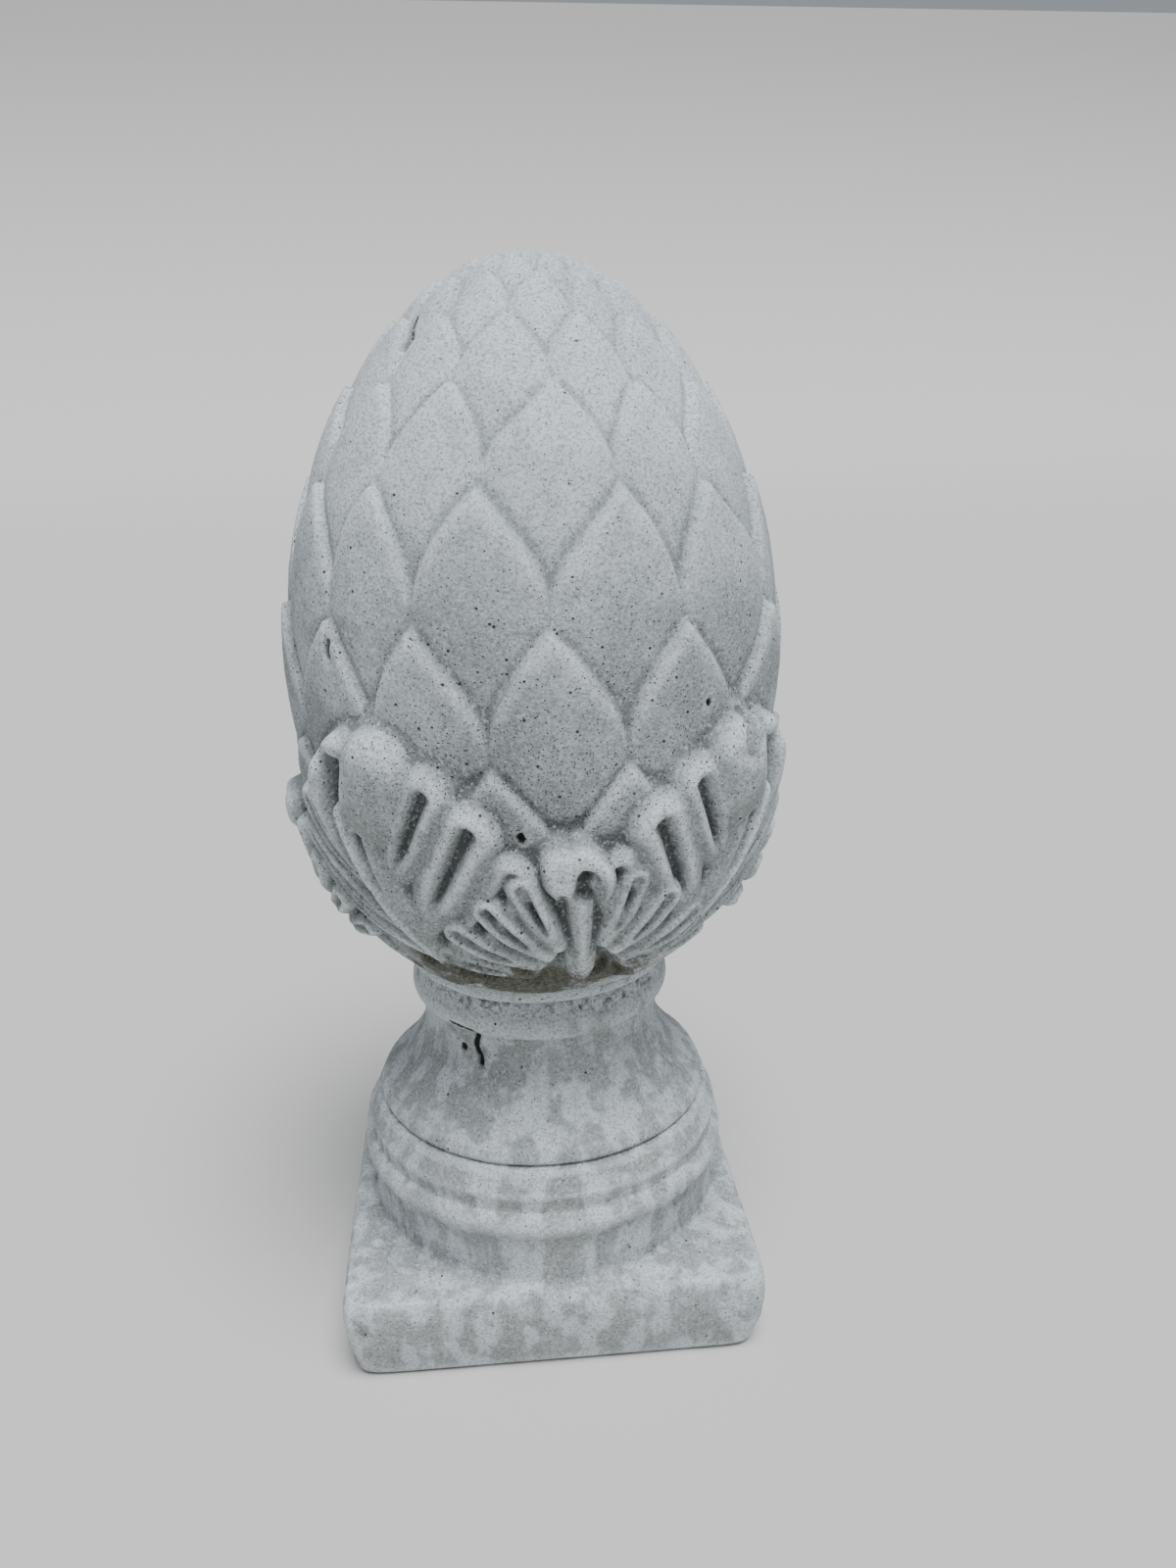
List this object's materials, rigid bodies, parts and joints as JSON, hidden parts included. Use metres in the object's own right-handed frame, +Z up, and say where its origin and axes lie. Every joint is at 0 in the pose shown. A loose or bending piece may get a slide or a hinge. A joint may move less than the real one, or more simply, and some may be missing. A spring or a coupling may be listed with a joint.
{
  "type": "pinecone finial",
  "caption": "Cast concrete pinecone finial: a cone of overlapping scales in a calyx of curled acanthus leaves, on a turned pedestal with a square plinth.",
  "frame": {"origin": "under the axis of the pedestal, on the surface that the finial stands on", "axes": "+Z up through the point of the cone; X and Y run square to the plinth's sides, and -Y faces the front of the picture"},
  "size_m": [0.1349, 0.1351, 0.285],
  "materials": {
    "concrete": "dry matt cast concrete, pale grey with whitish lime bloom, fine air pores and grime in the hollows"
  },
  "bodies": {
    "root": {"pinecone_finial": "concrete"}
  },
  "joints": []
}
